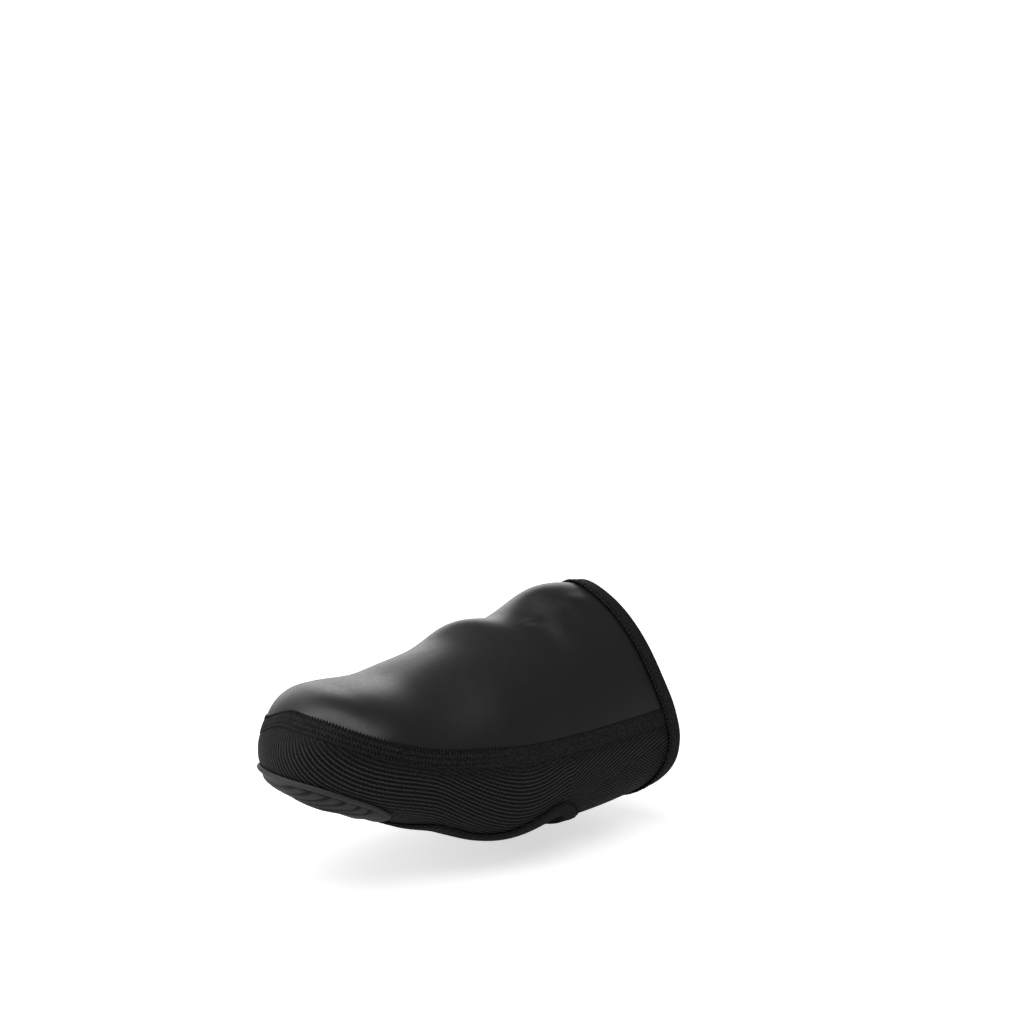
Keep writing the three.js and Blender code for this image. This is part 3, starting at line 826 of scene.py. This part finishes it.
# %% Mesh panel
mesh_piece = skin("ribbed_mesh", rows, ribbed, uv=np.stack([flat_x, flat_y], -1))
from_seam = (distance[:, -1:] - distance).ravel()
openness = np.clip((from_seam - 1) / 5, 0.35, 1)  # the knit is denser beside the seam
add_attribute(mesh_piece, "open", np.tile(openness, 2))
stand_for(mesh_piece, "mesh_panel")


# %% [markdown]
# The strap under the arch is cut from the same mesh, but turned: its ribs start at the dart and
# slant down to the rear. It could be one net with the mesh, but then the ribs would bend at the
# dart, where on the real cover they meet at an angle.

# %% Arch strap
def on_dart(y):
    return solve(-UP, UP / 2, lambda a: on_section(y, a)[..., 2] - smooth(DART, y) + HAIR,
                 STEPS)


def strap_hem(p):
    return beyond_opening(p) - TAPE["depth"] - GAP


def strap_rear(p):
    return p[..., 1] - rear_edge(p[..., 2]) + TAPE["depth"] + GAP


AHEAD, BETWEEN, BEHIND = 15.0, 60.0, 110.0  # the strap's ends lie between these places in y
front_corner = solve(AHEAD, BETWEEN, lambda y: strap_hem(on_section(y, on_dart(y))), STEPS)
rear_corner = solve(BETWEEN, BEHIND, lambda y: strap_rear(on_section(y, on_dart(y))), STEPS)


def strap_angle(share, across):
    medial_side = on_dart(front_corner + (rear_corner - front_corner) * share)
    return medial_side + (-math.pi - 2 * medial_side) * across


# %% The strap's net and its flat places
across = (1 - np.cos(np.linspace(0, math.pi, 141))) / 2
share = np.linspace(0, 1, 61)
first, last = strap_angle(0.0 * across, across), strap_angle(1 + 0.0 * across, across)
front_y = solve(AHEAD, BETWEEN + 0 * across, lambda y: np.minimum(
    strap_hem(on_section(y, first)), smooth(DART, y) - HAIR - on_section(y, first)[..., 2]), STEPS)
back_y = solve(BETWEEN, BEHIND + 0 * across, lambda y: strap_rear(on_section(y, last)), STEPS)
angles = strap_angle(share[None, :] + 0 * across[:, None], across[:, None] + 0 * share[None, :])
rows = on_section(front_y[:, None] + (back_y - front_y)[:, None] * share, angles)
girth = np.cumsum(np.concatenate([np.zeros((1, rows.shape[1])),
                                  np.linalg.norm(np.diff(rows, axis=0), axis=-1)]), axis=0)
up_from_middle = np.abs(girth - girth[-1:] / 2)
LEAN = 0.75  # how steeply the ribs slant
rib_place = (up_from_middle + LEAN * rows[..., 1]) * 1.2
loop_place = (rows[..., 1] - LEAN * up_from_middle) * 0.8
strap = skin("ribbed_arch_strap", rows, ribbed, uv=np.stack([rib_place * MM, loop_place * MM], -1))
add_attribute(strap, "open", np.ones(2 * rows[..., 0].size))
stand_for(strap, "arch_strap")


# %% [markdown]
# The seam is a flat cover stitch: the two cloths meet edge to edge under a band of looped thread.
# The band is a shell of its own that swells a little, so that its edges catch the light, and the
# stitch tree lays single threads along them.

# %% Seam band
def band_lower(p):
    return p[..., 2] - seam_lower(p) - HAIR


def band_upper(p):
    return p[..., 2] - seam_upper(p) + 2 * HAIR


ON_BAND = 13  # points across the band
band_rows = round_the_toe(140, 150, band_lower, band_upper, np.linspace(0, 1, ON_BAND))
points = band_rows.reshape(-1, 3)
to_tape = np.clip((rear_edge(points[:, 2]) - TAPE["width"] - points[:, 1]) / 4, 0, 1)
v = np.tile(np.linspace(0, 1, ON_BAND), len(band_rows))
swell = 0.35 * to_tape * (0.55 + 0.45 * np.sin(np.pi * v) ** 0.5)  # it flattens under the tape
from_top = length_along(band_rows[:, ::-1])[:, ::-1]
run = np.linalg.norm(np.diff(band_rows[:, ON_BAND // 2], axis=0), axis=1)
run = np.concatenate([[0], np.cumsum(run)])[:, None] + 0 * from_top
band = skin("flat_seam", band_rows, chained, height=swell,
            uv=np.stack([(from_top + 0.6) * MM, run * MM], -1))
add_attribute(band, "open", np.tile(np.clip((10 - points[:, 1]) / 50, 0.3, 1), 2))
stand_for(band, "seam_band")

# %% Stitches of the seam
def clear_of_tape(path):
    """The points of a path that lie ahead of the rear tape."""
    return path[path[:, 1] < rear_edge(path[:, 2]) - TAPE["width"]]


top_edge = band_rows[:, -1]
toe_part = top_edge[:, 1] < -6  # the front stitches stand across the edge like teeth
first, last = np.nonzero(toe_part)[0][[0, -1]]
sew("seam_teeth", "seam_band", top_edge[first:last + 1], 0.28, thread,
    Pitch=1.48, Length=0.62, Width=1.7, Height=0.5, Turn=0.0)
for side, part in (("medial", top_edge[:first + 1]), ("lateral", top_edge[last:])):
    sew(f"seam_dashes_{side}", "seam_band", clear_of_tape(part), 0.25, thread,
        Pitch=1.5, Length=1.05, Width=0.6, Height=0.4, Turn=0.25)
sew("seam_lower_dashes", "seam_band", clear_of_tape(band_rows[:, 0]), 0.18, thread,
    Pitch=1.5, Length=1.15, Width=0.4, Height=0.3, Turn=0.0)

# %% [markdown]
# The rear edge and the cleat opening are bound with a knit tape that is folded over the cloth. A
# tape is a closed loop of the same small profile, so one helper makes both. A curve with a bevel
# would not follow the cloth's slope, so each line of the profile is laid on the body instead.

# %% Folded tapes
def even_loop(points, count):
    """Evenly spaced surface points round a closed loop."""
    ring = np.concatenate([points, points[:1]])
    length = np.concatenate([[0], np.cumsum(np.linalg.norm(np.diff(ring, axis=0), axis=1))])
    at = np.linspace(0, length[-1], count, endpoint=False)
    return on_surface(np.stack([np.interp(at, length, ring[:, k]) for k in range(3)], -1))


def into_cloth(loop):
    """Directions on the surface from the edge into the cloth."""
    along = np.roll(loop, -1, axis=0) - np.roll(loop, 1, axis=0)
    along /= np.linalg.norm(along, axis=1, keepdims=True)
    into = np.cross(gradient(loop), along)
    return into / np.linalg.norm(into, axis=1, keepdims=True)


def reach_in(loop, distance):
    """Surface points at a distance from the edge, for each point of the loop."""
    p = loop
    for _ in range(6):
        p = on_surface(p + into_cloth(loop) * distance / 6, 2)
    return p


# %% The tape's profile
def tape_profile():
    """Reach from the edge and height over the cloth, round the folded tape."""
    outside = TAPE["slack"] + TAPE["thick"]
    inside = -WALL - outside
    width, middle, half = TAPE["width"], (outside + inside) / 2, (outside - inside) / 2
    profile = [(width, TAPE["slack"]), (width + 0.05, outside * 0.6),
               (width - 0.25, outside * 0.86), (width - 1, outside),
               (width * 0.6, outside + 0.08), (width * 0.3, outside)]
    for angle in np.linspace(90, -90, 11):
        a = math.radians(angle)
        profile.append((1.3 * (1 - math.cos(a) ** 0.8) if abs(angle) < 90 else 1.3,
                        middle + half * math.sin(a)))
    profile += [(width * 0.3, inside), (width * 0.6, inside), (width - 0.8, inside),
                (width, -WALL - TAPE["slack"] - 0.4), (width, -WALL - TAPE["slack"]),
                (width * 0.6, -WALL - TAPE["slack"]), (TAPE["depth"], -WALL - TAPE["slack"]),
                (TAPE["depth"], TAPE["slack"]), (width * 0.6, TAPE["slack"])]
    return profile


def folded_tape(name, loop, material):
    profile = tape_profile()
    rings = [offset(on_surface(reach_in(loop, reach)), out) for reach, out in profile]
    size = len(profile)
    ids = np.arange(len(loop) * size).reshape(len(loop), size)
    a, b = ids, np.roll(ids, -1, axis=0)
    quads = np.stack([a, b, np.roll(b, -1, axis=1), np.roll(a, -1, axis=1)], -1).reshape(-1, 4)
    vertices = np.stack(rings, axis=1).reshape(-1, 3)
    p, q, r, s = (vertices[quads[:, k]] for k in range(4))
    if (p * (np.cross(q, r) + np.cross(r, s))).sum() < 0:
        quads = quads[:, ::-1]
    return link(name, vertices, quads.tolist(), material, sharp=70)


# %% Rear tape
angle = np.linspace(0, 2 * math.pi, 720, endpoint=False)
p = on_section(rear_edge(np.full(len(angle), MID_HEIGHT)), angle)
for _ in range(6):
    p = on_section(rear_edge(p[..., 2]), angle)
opening_loop = even_loop(p, 420)
opening_tape = folded_tape("opening_tape", opening_loop, tape_knit)
stand_for(opening_tape, "opening_binding")
edge = reach_in(opening_loop, TAPE["width"] - 0.7)
lift = TAPE["slack"] + TAPE["thick"]
ZIGZAG = {"Pitch": 1.9, "Length": 2.3, "Width": 0.5, "Height": 0.45, "Turn": 0.75}
sew("opening_zigzag", "opening_binding", edge, lift + 0.02, thread, closed=True, **ZIGZAG)
sew("opening_flecks", "opening_binding", reach_in(opening_loop, TAPE["width"] + 0.1), lift - 0.15,
    pale_thread, closed=True, Pitch=1.9, Length=1.2, Width=0.5, Height=0.5, Turn=0.3)

# %% Cleat tape
centre = (OPENING["front"] + OPENING["rear"]) / 2
hem_angle = solve(-UP + 0 * angle, 0.0, lambda a: beyond_opening(from_inside(centre, angle, a)))
cleat_loop = even_loop(from_inside(centre, angle, hem_angle), 320)
cleat_tape = folded_tape("cleat_tape", cleat_loop, tape_knit)
stand_for(cleat_tape, "cleat_binding")
edge = reach_in(cleat_loop, TAPE["width"] - 0.7)
sew("cleat_zigzag", "cleat_binding", edge, lift + 0.02, thread, closed=True, **ZIGZAG)


# %% [markdown]
# The pad under the toe is moulded rubber with a raised rim and stepped terraces. They are real
# height and not bump, because they show from the side. The terraces are ellipses round the pad's
# lower middle, each rising to its edge and dropping into a groove.

# %% Toe pad
PAD = {"rear": -54.5, "bow": 4.0, "half_width": 40.0, "half_turn": math.radians(60)}
PAD_RISE = np.array([  # distance from the pad's edge, rise over the cloth
    [0, 0.9], [0.35, 1.75], [0.9, 2.0], [1.5, 1.85], [1.9, 1.25], [2.4, 1.05], [2.8, 1.35],
    [4, 2.2], [7, 3.1], [12, 3.8], [24, 4.1],
])
TERRACES = [0.30, 0.417, 0.533, 0.633, 0.733, 0.817, 0.89]  # shares of the pad's half turn
STEP = 0.9  # height of a terrace's edge
FLATTEN, ASIDE_LENGTH = 15.5, 42.0  # mm down and mm aside that count as one


def pad_rear(p):
    return PAD["rear"] - PAD["bow"] * (p[..., 0] / PAD["half_width"]) ** 2 - p[..., 1]


def above_rim(p):
    return p[..., 2] - smooth(PAD_RIM, p[..., 1])


def shingle(aside, down):
    """Height of the terraces and their painted groove shade: each rises to its edge, then drops into
    a groove.
    """
    place = np.hypot(aside, down / FLATTEN)
    steepness = np.hypot(aside / ASIDE_LENGTH, down / FLATTEN**2) / np.maximum(place, 1e-6)
    height, groove = np.zeros_like(place), np.zeros_like(place)
    for inner_edge, outer_edge in zip(TERRACES[:-1], TERRACES[1:]):
        t = (place - inner_edge) / (outer_edge - inner_edge)
        within = (t >= 0) & (t <= 1)
        height += np.where(within, STEP * np.clip(t / 0.8, 0, 1) * np.clip((1 - t) / 0.08, 0, 1), 0)
        # painted shade, strongest just past each terrace's edge where the step drops
        groove += np.where(within, np.clip(2.2 - (place - inner_edge) / steepness / 0.6, 0, 1), 0)
    return height, groove


# %% The pad's net
pad_turn = np.linspace(UP - PAD["half_turn"] + 0.002, UP + PAD["half_turn"] - 0.002, 281)
rim = solve(-UP + 0 * pad_turn, UP / 2, lambda a: above_rim(on_toe(pad_turn, a)), STEPS)
low = solve(-UP, rim, lambda a: pad_rear(on_toe(pad_turn, a)), STEPS)
pad_shares = np.linspace(0, 1, 101) ** 1.35
between = [on_toe(pad_turn, rim + (low - rim) * t) for t in LONG_TRACE]
pad_rows = spread(np.stack(between), pad_shares)
down = length_along(pad_rows)
edge_distance = np.minimum(down, down[:, -1:] - down)
aside = np.abs(pad_turn - UP)[:, None] / PAD["half_turn"]
height, groove = shingle(aside, down)
inside = np.clip((edge_distance - 2.3) / 0.5, 0, 1)
# %% The pad's height and its piece
to_medial = (UP - pad_turn[:, None]) / PAD["half_turn"]
fuller = 2.1 * np.exp(-(((down - 11) / 6) ** 2))  # a swelling below the big toe
fuller = fuller * np.clip((to_medial - 0.12) / 0.3, 0, 1) * np.clip(1.4 - 1.6 * to_medial, 0, 1)
thinner = 1.5 * np.clip((aside - 0.55) / 0.3, 0, 1) * np.clip((down - 5) / 6, 0, 1)
rise = smooth(PAD_RISE, edge_distance) + (height - 0.4 + fuller - thinner) * inside
# painted shade in the terrace grooves and in the groove inside the rim, stored as "groove"
groove = np.maximum(groove * inside, np.exp(-(((edge_distance - 2.4) / 0.35) ** 2)))
pad = skin("toe_rubber", pad_rows, rubber, height=rise.ravel(), inside=GAP + 0.1, sharp=40)
add_attribute(pad, "groove", np.concatenate([groove.ravel(), 0 * groove.ravel()]))
stand_for(pad, "toe_pad")

# %% [markdown]
# The cover stands on a pale floor in soft light, as in a catalogue. Floor and room are white only
# to the camera: were they as bright to the cloth, its dark finish would turn grey. Three large
# lamps then draw the highlights along the toe and the instep.

# %% Floor and light
FLOOR, REACH = -0.0105, 1.3  # height of the floor under the sole, half its width
floor_mesh = bpy.data.meshes.new("floor")
corners = [(x * REACH, y * REACH, FLOOR) for x, y in ((-1, -1), (1, -1), (1, 1), (-1, 1))]
floor_mesh.from_pydata(corners, [], [(0, 1, 2, 3)])
floor = show("floor", floor_mesh)
paper, tree, shader = material_of("pale paper", roughness=0.9, specular=0.1)
shader.inputs["Base Color"].default_value = (0.9, 0.9, 0.9, 1)
seen = tree.nodes.new("ShaderNodeLightPath").outputs["Is Camera Ray"]
shader.inputs["Emission Strength"].default_value = 0.62
tree.links.new(mixed(tree, seen, grey(0.0), grey(1.0)), shader.inputs["Emission Color"])
floor_mesh.materials.append(paper)

world = bpy.data.worlds.new("white room")
world.use_nodes = True
background = world.node_tree.nodes["Background"]
background.inputs[0].default_value = (1, 1, 1, 1)
seen = world.node_tree.nodes.new("ShaderNodeLightPath").outputs["Is Camera Ray"]
strength = spread_to(world.node_tree, seen, 0.0, 1.0, 0.22, 1.05)  # dimmer for what it lights
world.node_tree.links.new(strength, background.inputs[1])
bpy.context.scene.world = world
bpy.context.scene.view_settings.view_transform = "Standard"


def softbox(name, place, size, power, target=(0, 0, 0.04), turn=0.0):
    data = bpy.data.lights.new(name, "AREA")
    data.shape, data.size, data.size_y, data.energy = "RECTANGLE", size[0], size[1], power
    lamp = show(name, data)
    lamp.location = place
    lamp.rotation_euler = (Vector(target) - Vector(place)).to_track_quat("-Z", "Y").to_euler()
    lamp.rotation_euler.z += math.radians(turn)
    lamp.visible_camera = False
    return lamp


softbox("rear light", (-1.45, 1.0, 0.55), (2.2, 1.0), 11)
softbox("front light", (-0.75, -1.15, 0.62), (0.9, 0.45), 6)
softbox("top light", (-0.05, -0.3, 1.1), (2.6, 0.5), 12, target=(-0.05, -0.3, 0.0), turn=17)
for lamp in bpy.data.lights:
    print(lamp.name, lamp.energy, "W")

# %% [markdown]
# The areas and boxes of the stretched cloths are printed.

def area_of(piece):
    return sum(polygon.area for polygon in piece.data.polygons) / 2


for piece in (upper, mesh_piece, strap, band):
    print(piece.name, "covers", round(area_of(piece) * 1e4, 1), "square cm, box",
          [round(v, 3) for v in piece.dimensions])
